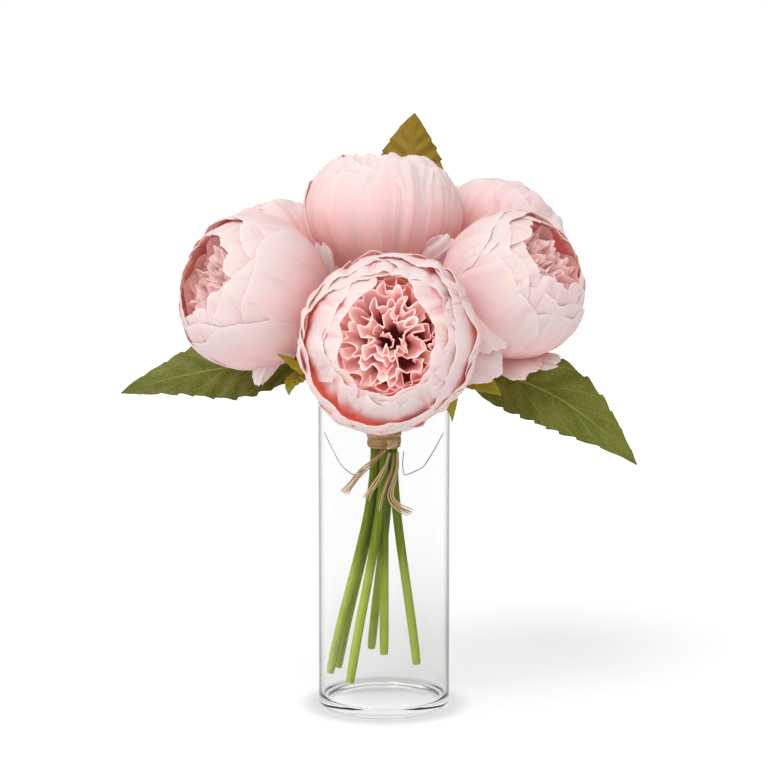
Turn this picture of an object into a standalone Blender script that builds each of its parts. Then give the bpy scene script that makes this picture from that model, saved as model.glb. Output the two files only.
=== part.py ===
"""Peony bouquet in a straight glass vase: six double peonies on cut stems, tied with raffia.

The frame has +Z up, its origin at the centre of the vase's underside, and -Y towards
the front of the bouquet. Lengths are in metres and angles in degrees.
"""

import math

import bmesh
import bpy
from mathutils import Vector

# The vase: a straight tube with a thick floor.
VASE_RADIUS = 0.040
VASE_HEIGHT = 0.200
VASE_WALL = 0.0025
VASE_FLOOR = 0.005
VASE_EDGE = 0.0025
VASE_SEGMENTS = 48

# The stems: one in the middle of the bundle and five round it, where the raffia holds them.
STEM_RADIUS = 0.0027
BUNDLE_RADIUS = 0.0058
TIE_LOW = 0.160
TIE_HIGH = 0.172
STEM_STEPS = 7
FLARE = (1.15, 1.7, 2.4)  # how much wider the stem gets at its last points, the receptacle

# The flower heads: each is a flattened globe, open at its mouth.
PETALS_PER_HEAD = 5
PETAL_HALF_WIDTH = 42
PETAL_THICKNESS = 0.0010
PETAL_LAP = 0.0015  # a petal leans out by this at one edge, and in at the other, to lap its neighbour
PETAL_BASE = 17
PETAL_ROUNDING = 15
PETAL_COLUMNS = 6
PETAL_ROWS = 6
CORE_SEGMENTS = 18
CORE_RIPPLE = 0.0016
CORE_INSET = 0.0042  # clear of the petals' flat facets
GAP = 0.0003

# A head's centre, the way it faces, its radius, half its depth, the angle from its base to
# its mouth, the turn of its first petal, and where its stem stands in the tie and ends below.
HEADS = {
    "front": dict(
        centre=(0.003, -0.075, 0.234), axis=(-0.13, -0.96, 0.22), radius=0.0520, depth=0.036,
        mouth=122, turn=20, in_tie=-90, foot=(-0.0204, -0.018, 0.0175),
    ),
    "left": dict(
        centre=(-0.0765, -0.022, 0.256), axis=(-0.80, -0.50, 0.35), radius=0.0455, depth=0.044,
        mouth=140, turn=5, in_tie=198, foot=(-0.0333, 0.0, 0.019),
    ),
    "right": dict(
        centre=(0.077, -0.019, 0.260), axis=(0.66, -0.48, 0.57), radius=0.0440, depth=0.043,
        mouth=140, turn=50, in_tie=-18, foot=(0.0200, 0.0, 0.0245),
    ),
    "top": dict(
        centre=(-0.001, 0.022, 0.302), axis=(0.02, 0.12, 0.99), radius=0.0480, depth=0.042,
        mouth=140, turn=36, in_tie=None, foot=(0.0, -0.004, 0.0316),
    ),
    "back_left": dict(
        centre=(-0.068, 0.074, 0.264), axis=(-0.55, 0.68, 0.48), radius=0.0415, depth=0.037,
        mouth=140, turn=0, in_tie=126, foot=(-0.0288, 0.010, 0.020),
    ),
    "back_right": dict(
        centre=(0.073, 0.069, 0.277), axis=(0.52, 0.68, 0.52), radius=0.0435, depth=0.038,
        mouth=140, turn=30, in_tie=54, foot=(-0.008, 0.025, 0.0283),
    ),
}

# The leaves: the midrib runs from root to tip and is pulled towards knee. face is the way
# the upper side looks, petiole is the share of the length before the blade, and half_width
# is the blade's, at its widest.
LEAVES = {
    "leaf_left": dict(
        root=(-0.0165, 0.0075, 0.203), knee=(-0.075, 0.034, 0.216), tip=(-0.160, 0.010, 0.191),
        petiole=0.22, half_width=0.0245, face=(-0.15, -0.72, 0.68),
    ),
    "leaf_right": dict(
        root=(0.0172, -0.0022, 0.1985), knee=(0.085, 0.004, 0.224), tip=(0.152, -0.014, 0.151),
        petiole=0.22, half_width=0.0245, face=(0.30, -0.85, 0.45),
    ),
    "leaf_top": dict(
        root=(0.004, 0.014, 0.215), knee=(0.014, 0.105, 0.290), tip=(0.019, 0.062, 0.3585),
        petiole=0.45, half_width=0.023, face=(0.10, 0.95, 0.20),
    ),
    "leaf_between": dict(
        root=(-0.012, -0.008, 0.201), knee=(-0.038, -0.040, 0.203), tip=(-0.0620, -0.057, 0.2240),
        petiole=0.30, half_width=0.009, face=(0.0, -0.50, 0.87),
    ),
    "leaf_left_low": dict(
        root=(-0.016, -0.001, 0.198), knee=(-0.054, -0.014, 0.216), tip=(-0.0565, -0.026, 0.195),
        petiole=0.30, half_width=0.010, face=(-0.70, -0.60, 0.40),
    ),
    "leaf_right_low": dict(
        root=(0.013, -0.0085, 0.203), knee=(0.040, -0.028, 0.219), tip=(0.0690, -0.036, 0.1965),
        petiole=0.30, half_width=0.012, face=(0.20, -0.75, 0.62),
    ),
    "leaf_front_low": dict(
        root=(0.010, -0.014, 0.203), knee=(0.038, -0.040, 0.225), tip=(0.040, -0.050, 0.183),
        petiole=0.30, half_width=0.009, face=(0.65, -0.70, 0.30),
    ),
    "leaf_back_left": dict(
        root=(-0.008, 0.014, 0.205), knee=(-0.020, 0.075, 0.222), tip=(-0.036, 0.130, 0.190),
        petiole=0.22, half_width=0.020, face=(-0.10, 0.35, 0.93),
    ),
    "leaf_back_right": dict(
        root=(0.008, 0.014, 0.205), knee=(0.030, 0.070, 0.222), tip=(0.064, 0.122, 0.198),
        petiole=0.22, half_width=0.019, face=(0.15, 0.35, 0.92),
    ),
}
LEAF_THICKNESS = 0.0009
LEAF_STATIONS = 10
LEAF_FOLD = 0.16  # how far the blade's edges rise, as a share of its half width
PETIOLE_HALF_WIDTH = 0.0012

# The raffia: a wrapped band, a knot on its front, and ends that hang from the knot.
BAND_WIDTH = 0.0016
BAND_TURNS = 4
KNOT_SIZE = (0.0075, 0.0042, 0.0065)
KNOT_TURN = -66
CORD_STEPS = 10

# Each end's diameter and the points of its route, from where it leaves the knot.
RAFFIA_ENDS = {
    "raffia_tail_1": (0.0026, [
        (0.0010, -0.0112, 0.1590), (-0.0050, -0.0146, 0.1545), (-0.0126, -0.0170, 0.1475),
        (-0.0186, -0.0184, 0.1405), (-0.0238, -0.0190, 0.1345),
    ]),
    "raffia_tail_2": (0.0024, [
        (0.0036, -0.0120, 0.1578), (0.0006, -0.0160, 0.1495), (-0.0040, -0.0182, 0.1412),
        (-0.0078, -0.0190, 0.1360), (-0.0104, -0.0196, 0.1310),
    ]),
    "raffia_tail_3": (0.0016, [
        (0.0060, -0.0122, 0.1576), (0.0046, -0.0166, 0.1495), (0.0016, -0.0186, 0.1405),
        (-0.0014, -0.0196, 0.1320), (-0.0030, -0.0200, 0.1234),
    ]),
    "raffia_tail_4": (0.0024, [
        (0.0084, -0.0116, 0.1582), (0.0080, -0.0156, 0.1505), (0.0058, -0.0176, 0.1420),
        (0.0040, -0.0190, 0.1325), (0.0088, -0.0192, 0.1266), (0.0166, -0.0184, 0.1228),
    ]),
    "raffia_fibre_left": (0.0006, [
        (-0.0012, -0.0118, 0.1605), (-0.0090, -0.0120, 0.1500), (-0.0180, -0.0115, 0.1438),
        (-0.0258, -0.0090, 0.1498), (-0.0312, -0.0060, 0.1598), (-0.0362, -0.0030, 0.1693),
    ]),
    "raffia_fibre_right": (0.0006, [
        (0.0118, -0.0098, 0.1585), (0.0110, -0.0112, 0.1505), (0.0120, -0.0124, 0.1438),
        (0.0236, -0.0115, 0.1490), (0.0298, -0.0090, 0.1590), (0.0355, -0.0060, 0.1693),
    ]),
}


def clear_scene():
    for obj in list(bpy.data.objects):
        bpy.data.objects.remove(obj)


def material(name, colour, roughness, transmission=0.0):
    made = bpy.data.materials.new(name)
    made.use_nodes = True
    shader = made.node_tree.nodes["Principled BSDF"]
    shader.inputs["Base Color"].default_value = (*colour, 1.0)
    shader.inputs["Roughness"].default_value = roughness
    shader.inputs["Metallic"].default_value = 0.0
    shader.inputs["Transmission Weight"].default_value = transmission
    return made


def add_object(name, data, look, parent=None):
    obj = bpy.data.objects.new(name, data)
    bpy.context.scene.collection.objects.link(obj)
    if not data.materials:
        data.materials.append(look)
    obj.parent = parent
    return obj


def mesh_of(name, bm, sharp_angle=50):
    """Turns a bmesh into a mesh with its faces pointing out, shaded smooth."""
    bmesh.ops.recalc_face_normals(bm, faces=bm.faces)
    mesh = bpy.data.meshes.new(name)
    bm.to_mesh(mesh)
    bm.free()
    mesh.shade_smooth()
    mesh.set_sharp_from_angle(angle=math.radians(sharp_angle))
    return mesh


def lathe(name, profile, segments, ripple=None, closed_profile=False):
    """A turned body. A profile point on the axis becomes one vertex, a pole. ripple moves each
    point up by what it gives for the point's place in the profile and its turn."""
    bm = bmesh.new()
    rings = []
    for place, (radius, height) in enumerate(profile):
        if radius == 0:
            rings.append([bm.verts.new((0, 0, height))])
            continue
        ring = []
        for step in range(segments):
            turn = 2 * math.pi * step / segments
            lift = ripple(place, turn) if ripple else 0
            ring.append(bm.verts.new((radius * math.cos(turn), radius * math.sin(turn), height + lift)))
        rings.append(ring)
    pairs = list(zip(rings, rings[1:]))
    if closed_profile:
        pairs.append((rings[-1], rings[0]))
    for low, high in pairs:
        for step in range(segments):
            corners = [low[step % len(low)], low[(step + 1) % len(low)]]
            corners += [high[(step + 1) % len(high)], high[step % len(high)]]
            bm.faces.new(dict.fromkeys(corners))
    return mesh_of(name, bm)


def shell(name, outer, inner):
    """A closed sheet between two grids of points, rows by columns."""
    bm = bmesh.new()
    rows, columns = len(outer), len(outer[0])
    front, back = ([[bm.verts.new(p) for p in row] for row in grid] for grid in (outer, inner))
    for i in range(rows - 1):
        for j in range(columns - 1):
            bm.faces.new((front[i][j], front[i][j + 1], front[i + 1][j + 1], front[i + 1][j]))
            bm.faces.new((back[i][j], back[i + 1][j], back[i + 1][j + 1], back[i][j + 1]))
    edge = [(0, j) for j in range(columns)] + [(i, columns - 1) for i in range(1, rows)]
    edge += [(rows - 1, j) for j in range(columns - 2, -1, -1)] + [(i, 0) for i in range(rows - 2, 0, -1)]
    for (i, j), (k, m) in zip(edge, edge[1:] + edge[:1]):
        bm.faces.new((front[i][j], back[i][j], back[k][m], front[k][m]))
    return mesh_of(name, bm)


def bezier(points, share):
    """A point on the Bezier curve of any number of control points."""
    points = [Vector(p) for p in points]
    while len(points) > 1:
        points = [a.lerp(b, share) for a, b in zip(points, points[1:])]
    return points[0]


def smooth_route(points, steps):
    """Points along a smooth curve through the given ones."""
    points = [Vector(p) for p in points]
    ends = [2 * points[0] - points[1], *points, 2 * points[-1] - points[-2]]
    route = []
    spans = len(points) - 1
    for step in range(steps * spans // 4 + 1):
        along = spans * step / (steps * spans // 4)
        span = min(int(along), spans - 1)
        t = along - span
        a, b, c, d = ends[span:span + 4]
        bend = 2 * a - 5 * b + 4 * c - d
        twist = 3 * b - a - 3 * c + d
        route.append(0.5 * (2 * b + (c - a) * t + bend * t * t + twist * t ** 3))
    return route


def tube(name, route, radius, look, widths=None, sides_level=2):
    """A round solid along a route, as wide at each point as widths says."""
    data = bpy.data.curves.new(name, "CURVE")
    data.dimensions = "3D"
    data.bevel_depth = radius
    data.bevel_resolution = sides_level
    data.use_fill_caps = True
    spline = data.splines.new("POLY")
    spline.points.add(len(route) - 1)
    for place, point in enumerate(route):
        spline.points[place].co = (*point, 1.0)
        spline.points[place].radius = widths[place] if widths else 1.0
    return add_object(name, data, look)


def make_vase(look):
    inner = VASE_RADIUS - VASE_WALL
    half_wall = VASE_WALL / 2
    profile = [
        (0, 0), (VASE_RADIUS - VASE_EDGE, 0), (VASE_RADIUS, VASE_EDGE),
        (VASE_RADIUS, VASE_HEIGHT - half_wall / 2), (VASE_RADIUS - half_wall / 2, VASE_HEIGHT),
        (inner + half_wall / 2, VASE_HEIGHT), (inner, VASE_HEIGHT - half_wall / 2),
        (inner, VASE_FLOOR + VASE_EDGE), (inner - VASE_EDGE, VASE_FLOOR), (0, VASE_FLOOR),
    ]
    return add_object("vase", lathe("vase", profile, VASE_SEGMENTS), look)


def place_in_tie(head):
    """Where a head's stem stands in the raffia band, seen from above."""
    if head["in_tie"] is None:
        return Vector((0, 0, 0))
    turn = math.radians(head["in_tie"])
    return Vector((math.cos(turn), math.sin(turn), 0)) * BUNDLE_RADIUS


def make_stem(name, head, look):
    """A stem is straight in the tie, spreads below it to its cut foot, and bends above it to
    meet its head along the head's axis, where it widens into the receptacle."""
    axis = Vector(head["axis"]).normalized()
    top = Vector(head["centre"]) - axis * (head["depth"] + 2 * GAP)
    foot = Vector(head["foot"])
    low = place_in_tie(head) + Vector((0, 0, TIE_LOW))
    high = place_in_tie(head) + Vector((0, 0, TIE_HIGH))
    up = Vector((0, 0, 1))
    below = [foot, foot.lerp(low, 0.4), low - up * 0.045, low]
    above = [high, high + up * 0.024, top - axis * 0.030, top]
    route = [bezier(below, step / STEM_STEPS) for step in range(STEM_STEPS + 1)]
    route += [bezier(above, step / STEM_STEPS) for step in range(STEM_STEPS + 1)]
    widths = [1.0] * (len(route) - len(FLARE)) + list(FLARE)
    return tube(name, route, STEM_RADIUS, look, widths)


def globe_point(head, polar, turn, grow):
    """A point on a head's globe, grown by grow, in the head's own frame, its axis along +Z."""
    polar, turn = math.radians(polar), math.radians(turn)
    radius = (head["radius"] + grow) * math.sin(polar)
    return Vector((radius * math.cos(turn), radius * math.sin(turn), -(head["depth"] + grow) * math.cos(polar)))


def petal_mesh(name, head):
    """One cupped petal, from near the receptacle to its rounded edge at the mouth."""
    sheets = []
    for thickness in (0, PETAL_THICKNESS):
        grid = []
        for row in range(PETAL_ROWS + 1):
            along = row / PETAL_ROWS
            spread = 0.55 + 0.45 * math.sin(0.62 * math.pi * along)
            line = []
            for column in range(PETAL_COLUMNS + 1):
                across = 2 * column / PETAL_COLUMNS - 1
                tip = head["mouth"] - PETAL_ROUNDING * across ** 2
                polar = PETAL_BASE + (tip - PETAL_BASE) * along
                turn = PETAL_HALF_WIDTH * spread * across
                line.append(globe_point(head, polar, turn, PETAL_LAP * across - thickness))
            grid.append(line)
        sheets.append(grid)
    return shell(name, *sheets)


def core_mesh(name, head):
    """The inner petals pressed together: a globe inside the outer petals, dished at its mouth
    and rippled there by the ruffles."""
    lip = head["mouth"] - 10
    profile = [(0, -head["depth"])]
    for share in (0.13, 0.28, 0.45, 0.62, 0.80, 1.0):
        point = globe_point(head, share * lip, 0, -CORE_INSET)
        profile.append((point.x, point.z))
    rim_radius, rim_height = profile[-1]
    for share, drop in ((0.88, 0.0010), (0.60, 0.0045), (0.30, 0.0070)):
        profile.append((rim_radius * share, rim_height - drop))
    profile.append((0, rim_height - 0.0085))
    first_ruffle = len(profile) - 4

    def ripple(place, turn):
        if place < first_ruffle:
            return 0
        return CORE_RIPPLE * math.sin(CORE_SEGMENTS / 3 * turn + 2 * place)

    return lathe(name, profile, CORE_SEGMENTS, ripple)


def make_head(name, head, petal_look, core_look):
    """A head is modelled along +Z, and an empty at its centre turns it to face its way."""
    holder = bpy.data.objects.new(name + "_head", None)
    bpy.context.scene.collection.objects.link(holder)
    holder.location = head["centre"]
    holder.rotation_mode = "QUATERNION"
    holder.rotation_quaternion = Vector(head["axis"]).to_track_quat("Z", "Y")
    add_object(name + "_core", core_mesh(name + "_core", head), core_look, holder)
    petal = petal_mesh(name + "_petal", head)
    for number in range(PETALS_PER_HEAD):
        obj = add_object(f"{name}_petal_{number + 1}", petal, petal_look, holder)
        obj.rotation_euler.z = math.radians(head["turn"] + 360 * number / PETALS_PER_HEAD)


def blade_half_width(leaf, share):
    """Half the leaf's width at a share of the way along it: the petiole, then the blade."""
    if share <= leaf["petiole"]:
        return PETIOLE_HALF_WIDTH
    along = (share - leaf["petiole"]) / (1 - leaf["petiole"])
    return max(leaf["half_width"] * math.sin(math.pi * along ** 0.8) ** 0.9, PETIOLE_HALF_WIDTH / 3)


def make_leaf(name, leaf, look):
    """A blade folded a little along its midrib, on a short petiole."""
    route = [leaf["root"], leaf["knee"], leaf["tip"]]
    top, bottom = [], []
    for station in range(LEAF_STATIONS + 1):
        share = station / LEAF_STATIONS
        middle = bezier(route, share)
        forward = (bezier(route, min(share + 0.01, 1)) - bezier(route, max(share - 0.01, 0))).normalized()
        side = forward.cross(Vector(leaf["face"])).normalized()
        face = side.cross(forward)
        half = blade_half_width(leaf, share)
        rise = face * LEAF_FOLD * half
        line = [middle - side * half + rise, middle, middle + side * half + rise]
        top.append([p + face * LEAF_THICKNESS / 2 for p in line])
        bottom.append([p - face * LEAF_THICKNESS / 2 for p in line])
    return add_object(name, shell(name, top, bottom), look)


def make_raffia(look):
    """A band of wound turns round the stems, a knot on it, and the hanging ends."""
    inner = BUNDLE_RADIUS + STEM_RADIUS + GAP
    turn_height = (TIE_HIGH - TIE_LOW) / BAND_TURNS
    profile = [(inner, TIE_LOW), (inner, TIE_HIGH)]
    for wound in reversed(range(BAND_TURNS)):
        for share, swell in ((0.85, 0.6), (0.35, 1.0)):
            profile.append((inner + BAND_WIDTH * swell, TIE_LOW + turn_height * (wound + share)))
    add_object("raffia_wrap", lathe("raffia_wrap", profile, 24, closed_profile=True), look)

    bm = bmesh.new()
    bmesh.ops.create_uvsphere(bm, u_segments=10, v_segments=7, radius=0.5)
    bmesh.ops.scale(bm, vec=KNOT_SIZE, verts=bm.verts)
    knot = add_object("raffia_knot", mesh_of("raffia_knot", bm), look)
    reach = inner + BAND_WIDTH + GAP + KNOT_SIZE[1] / 2
    turn = math.radians(KNOT_TURN)
    knot.location = (reach * math.cos(turn), reach * math.sin(turn), TIE_LOW + turn_height)
    knot.rotation_euler.z = turn + math.pi / 2

    for name, (diameter, points) in RAFFIA_ENDS.items():
        tube(name, smooth_route(points, CORD_STEPS), diameter / 2, look)


def main():
    clear_scene()
    glass = material("clear_glass", (0.95, 0.97, 0.96), 0.05, transmission=1.0)
    petal_pink = material("petal_pink", (0.90, 0.62, 0.62), 0.70)
    ruffle_coral = material("ruffle_coral", (0.85, 0.38, 0.36), 0.75)
    stem_green = material("stem_green", (0.25, 0.42, 0.06), 0.45)
    leaf_green = material("leaf_green", (0.12, 0.20, 0.03), 0.50)
    raffia_tan = material("raffia_tan", (0.62, 0.42, 0.22), 0.70)
    make_vase(glass)
    for name, head in HEADS.items():
        make_stem("stem_" + name, head, stem_green)
        make_head(name, head, petal_pink, ruffle_coral)
    for name, leaf in LEAVES.items():
        make_leaf(name, leaf, leaf_green)
    make_raffia(raffia_tan)


main()
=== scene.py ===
import bpy
import math
import numpy as np
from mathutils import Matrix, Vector


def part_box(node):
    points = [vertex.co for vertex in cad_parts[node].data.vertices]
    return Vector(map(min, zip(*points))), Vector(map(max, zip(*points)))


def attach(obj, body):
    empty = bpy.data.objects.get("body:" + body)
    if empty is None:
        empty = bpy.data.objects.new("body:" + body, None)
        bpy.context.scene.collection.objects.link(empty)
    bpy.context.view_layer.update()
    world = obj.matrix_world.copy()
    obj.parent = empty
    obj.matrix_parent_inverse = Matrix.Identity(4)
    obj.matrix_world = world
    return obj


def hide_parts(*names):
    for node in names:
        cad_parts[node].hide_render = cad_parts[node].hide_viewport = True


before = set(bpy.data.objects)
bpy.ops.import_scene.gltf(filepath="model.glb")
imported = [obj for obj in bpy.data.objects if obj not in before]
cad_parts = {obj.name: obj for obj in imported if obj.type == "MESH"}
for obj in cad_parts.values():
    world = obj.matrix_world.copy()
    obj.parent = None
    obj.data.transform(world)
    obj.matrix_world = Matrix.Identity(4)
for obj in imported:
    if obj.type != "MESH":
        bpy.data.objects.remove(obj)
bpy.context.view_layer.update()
print("frame loaded:", len(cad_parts), "nodes")

scene = bpy.context.scene
black = (0.0, 0.0, 0.0)
white = (1.0, 1.0, 1.0)


# camera: a long lens from the front, a little above the flowers
view = {
    "distance": 1.505,
    "height": 0.417,
    "pitch": 8.28,     # degrees below level
    "lens": 118.0,
}


def makeCamera():
    data = bpy.data.cameras.new("frontCamera")
    data.lens = view["lens"]
    data.sensor_width = 36.0
    camera = bpy.data.objects.new("frontCamera", data)
    scene.collection.objects.link(camera)
    camera.location = (0.0, -view["distance"], view["height"])
    camera.rotation_euler = (math.radians(90 - view["pitch"]), 0.0, 0.0)
    scene.camera = camera


makeCamera()
print("camera set")


def smooth(low, high, x):
    t = np.clip((x - low) / (high - low), 0.0, 1.0)
    return t * t * (3 - 2 * t)


def bell(x, power=2):
    return np.exp(-np.abs(x) ** power)


def unit(v):
    return v / (np.linalg.norm(v, axis=-1, keepdims=True) + 1e-12)


def metres(points):
    return np.array(points) / 1000


def grid(rows, cols):
    # up a sheet from 0 to 1, and across it from -1 to 1
    return np.linspace(0, 1, rows)[:, None], np.linspace(-1, 1, cols)[None, :]


def spun(r, phi, z):
    # points at a distance, a turn and a height about the upright axis
    return np.stack(np.broadcast_arrays(r * np.cos(phi), r * np.sin(phi), z), -1)


def curveThrough(points, steps):
    # a smooth line through the given points
    p = np.array(points, float)
    ends = np.vstack([2 * p[0] - p[1], p, 2 * p[-1] - p[-2]])
    t = np.linspace(0, len(p) - 1, steps)
    span = np.minimum(t.astype(int), len(p) - 2)
    s = (t - span)[:, None]
    a, b, c, d = (ends[span + k] for k in range(4))
    bends = (2 * a - 5 * b + 4 * c - d) * s ** 2 + (3 * b - a - 3 * c + d) * s ** 3
    return 0.5 * (2 * b + (c - a) * s + bends)


def bezierThrough(points, steps):
    t = np.linspace(0, 1, steps)[:, None, None]
    p = np.repeat(np.array(points, float)[None], steps, axis=0)
    while p.shape[1] > 1:
        p = p[:, :-1] * (1 - t) + p[:, 1:] * t
    return p[:, 0]


def pieceName(node):
    first, *rest = node.split("_")
    return first + "".join(word.capitalize() for word in rest)


def meshFrom(name, verts, faces, marks, sharpAngle=55):
    # a mesh object from arrays, with its marks kept as attributes for the materials
    mesh = bpy.data.meshes.new(name)
    mesh.vertices.add(len(verts))
    mesh.vertices.foreach_set("co", np.asarray(verts, np.float32).ravel())
    allQuads = isinstance(faces, np.ndarray)
    sizes = np.full(len(faces), 4) if allQuads else np.array([len(f) for f in faces])
    flat = faces.ravel() if allQuads else np.concatenate(faces)
    mesh.loops.add(len(flat))
    mesh.loops.foreach_set("vertex_index", flat.astype(np.int32))
    mesh.polygons.add(len(sizes))
    mesh.polygons.foreach_set("loop_start", (np.cumsum(sizes) - sizes).astype(np.int32))
    mesh.update(calc_edges=True)
    mesh.validate()
    for key, values in marks.items():
        layer = mesh.attributes.new(key, "FLOAT", "POINT")
        layer.data.foreach_set("value", np.asarray(values, np.float32).ravel())
    mesh.shade_smooth()
    mesh.set_sharp_from_angle(angle=math.radians(sharpAngle))
    piece = bpy.data.objects.new(name, mesh)
    scene.collection.objects.link(piece)
    return piece


def clothPiece(name, sheets, thickness):
    # thin cloth: each sheet is a grid of points with a front, a back and a cut edge all round
    allVerts, allFaces, base = [], [], 0
    marks = {k: [] for k in ("along", "across", "inside", "tone", "ring", "fold", "crumple")}
    for s in sheets:
        p = s["points"]
        rows, cols = p.shape[:2]
        n = unit(np.cross(np.gradient(p, axis=0), np.gradient(p, axis=1)))
        front, back = p + n * thickness / 2, p - n * thickness / 2
        count = rows * cols
        idx = np.arange(count).reshape(rows, cols)
        quads = np.stack([idx[:-1, :-1], idx[1:, :-1], idx[1:, 1:], idx[:-1, 1:]], -1).reshape(-1, 4)
        loop = np.concatenate([idx[0, :], idx[1:, -1], idx[-1, -2::-1], idx[-2:0:-1, 0]])
        nextLoop = np.roll(loop, -1)
        rim = np.stack([loop, nextLoop, nextLoop + count, loop + count], -1)
        allVerts += [front.reshape(-1, 3), back.reshape(-1, 3)]
        allFaces.append(np.vstack([quads, quads[:, ::-1] + count, rim]) + base)
        base += 2 * count
        # the side towards the heart is the inside
        frontSide = 0.0 if np.sum(n * (p - s["heart"])) > 0 else 1.0
        marks["inside"] += [np.full(count, frontSide), np.full(count, 1 - frontSide)]
        for key in marks.keys() - {"inside"}:
            marks[key] += [np.broadcast_to(s.get(key, 0.0), (rows, cols)).ravel()] * 2
    marks = {k: np.concatenate(v) for k, v in marks.items()}
    return meshFrom(name, np.vstack(allVerts), np.vstack(allFaces), marks)


def finishPiece(piece, look, slot, *nodes):
    piece.data.materials.append(look)
    if nodes:
        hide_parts(*nodes)
    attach(piece, "root")


def startLook(name):
    look = bpy.data.materials.new(name)
    look.use_nodes = True
    tree = look.node_tree
    return look, tree, tree.nodes["Principled BSDF"]


def feed(tree, socket, value):
    # a number or a colour is set on the socket itself, and anything else is linked to it
    if isinstance(value, tuple):
        socket.default_value = (*value, 1.0)
    elif isinstance(value, (int, float)):
        socket.default_value = value
    else:
        tree.links.new(value, socket)


def fill(tree, node, settings):
    for name, value in settings.items():
        feed(tree, node.inputs[name], value)


def mark(tree, name):
    n = tree.nodes.new("ShaderNodeAttribute")
    n.attribute_name = name
    return n.outputs["Fac"]


def maths(tree, kind, *values):
    n = tree.nodes.new("ShaderNodeMath")
    n.operation = kind
    for socket, value in zip(n.inputs, values):
        feed(tree, socket, value)
    return n.outputs[0]


def times(tree, a, b):
    return maths(tree, "MULTIPLY", a, b)


def ramp(tree, value, places, tints):
    n = tree.nodes.new("ShaderNodeValToRGB")
    bits = n.color_ramp.elements
    while len(bits) < len(places):
        bits.new(0.5)
    for bit, at, tint in zip(bits, places, tints):
        bit.position = at
        bit.color = (*tint, 1.0)
    tree.links.new(value, n.inputs["Fac"])
    return n.outputs["Color"]


def rampValue(tree, value, low, high, start=0.0, end=1.0):
    n = tree.nodes.new("ShaderNodeMapRange")
    n.interpolation_type = "SMOOTHSTEP"
    fill(tree, n, {"Value": value, "From Min": low, "From Max": high, "To Min": start, "To Max": end})
    return n.outputs["Result"]


def blendColour(tree, share, a, b):
    n = tree.nodes.new("ShaderNodeMix")
    n.data_type = "RGBA"
    for place, value in ((0, share), (6, a), (7, b)):
        feed(tree, n.inputs[place], value)
    return n.outputs[2]


def layered(tree, colour, tints, layers):
    # each layer covers the ones before it by its share
    for share, tint in layers:
        colour = blendColour(tree, share, colour, tints[tint])
    return colour


def spot(tree, x, y, z):
    n = tree.nodes.new("ShaderNodeCombineXYZ")
    fill(tree, n, {"X": x, "Y": y, "Z": z})
    return n.outputs[0]


def clothSpot(tree, acrossBeats, alongBeats, spread):
    # a place on the cloth itself, moved on from one sheet to the next by their tones
    beats = (("across", acrossBeats), ("along", alongBeats), ("tone", spread))
    return spot(tree, *(times(tree, mark(tree, name), beat) for name, beat in beats))


def objectSpot(tree):
    return tree.nodes.new("ShaderNodeTexCoord").outputs["Object"]


def heightOf(tree):
    n = tree.nodes.new("ShaderNodeSeparateXYZ")
    tree.links.new(objectSpot(tree), n.inputs[0])
    return n.outputs["Z"]


def reachOf(tree):
    # how far a point lies from the upright axis
    flat, reach = (tree.nodes.new("ShaderNodeVectorMath") for _ in range(2))
    flat.operation = "MULTIPLY"
    flat.inputs[1].default_value = (1.0, 1.0, 0.0)
    tree.links.new(objectSpot(tree), flat.inputs[0])
    reach.operation = "LENGTH"
    tree.links.new(flat.outputs[0], reach.inputs[0])
    return reach.outputs["Value"]


def noise(tree, where, scale, detail=3.0, rough=0.5):
    n = tree.nodes.new("ShaderNodeTexNoise")
    fill(tree, n, {"Vector": where, "Scale": scale, "Detail": detail, "Roughness": rough})
    return n.outputs["Fac"]


def cellEdges(tree, where, scale):
    n = tree.nodes.new("ShaderNodeTexVoronoi")
    n.feature = "DISTANCE_TO_EDGE"
    fill(tree, n, {"Vector": where, "Scale": scale})
    return n.outputs["Distance"]


def bump(tree, height, strength, distance, under=None):
    n = tree.nodes.new("ShaderNodeBump")
    fill(tree, n, {"Strength": strength, "Distance": distance, "Height": height})
    if under is not None:
        tree.links.new(under, n.inputs["Normal"])
    return n.outputs["Normal"]


def weave(tree, relief, threads=2600.0):
    # fine cloth over the broader relief
    return bump(tree, noise(tree, objectSpot(tree), threads, 2.0), 0.15, 0.0002, relief)


def shineThrough(tree, shader, colour, share):
    # some of the light passes through the thin cloth and takes its colour
    through = tree.nodes.new("ShaderNodeBsdfTranslucent")
    tree.links.new(colour, through.inputs["Color"])
    both = tree.nodes.new("ShaderNodeMixShader")
    for place, value in enumerate((share, shader.outputs[0], through.outputs[0])):
        feed(tree, both.inputs[place], value)
    tree.links.new(both.outputs[0], tree.nodes["Material Output"].inputs["Surface"])


petalFabric = {
    "base": (0.84, 0.51, 0.48),       # near the calyx, deeper by the cloth's own dye and partly by painted shade under the heads
    "low": (0.82, 0.63, 0.61),
    "middle": (0.83, 0.745, 0.745),
    "tip": (0.855, 0.805, 0.805),
    "insideDeep": (0.93, 0.30, 0.22),
    "inside": (0.94, 0.50, 0.43),
    "insideTip": (0.90, 0.74, 0.72),
    "cutEdge": (0.93, 0.86, 0.84),
    "cream": (0.92, 0.84, 0.60),
    "fold": (0.86, 0.33, 0.27),       # painted coral shade along pressed creases and in the gaps between whorls
    "through": (0.96, 0.66, 0.61),    # what light picks up on its way through the cloth
    "glow": (0.19, 0.070, 0.052),     # painted glow: emission standing in for light held between the whorls
    "roughness": 0.65,
    "sheen": 0.06,
    "letsLight": 0.38,                # share of light that passes through
}


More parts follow.
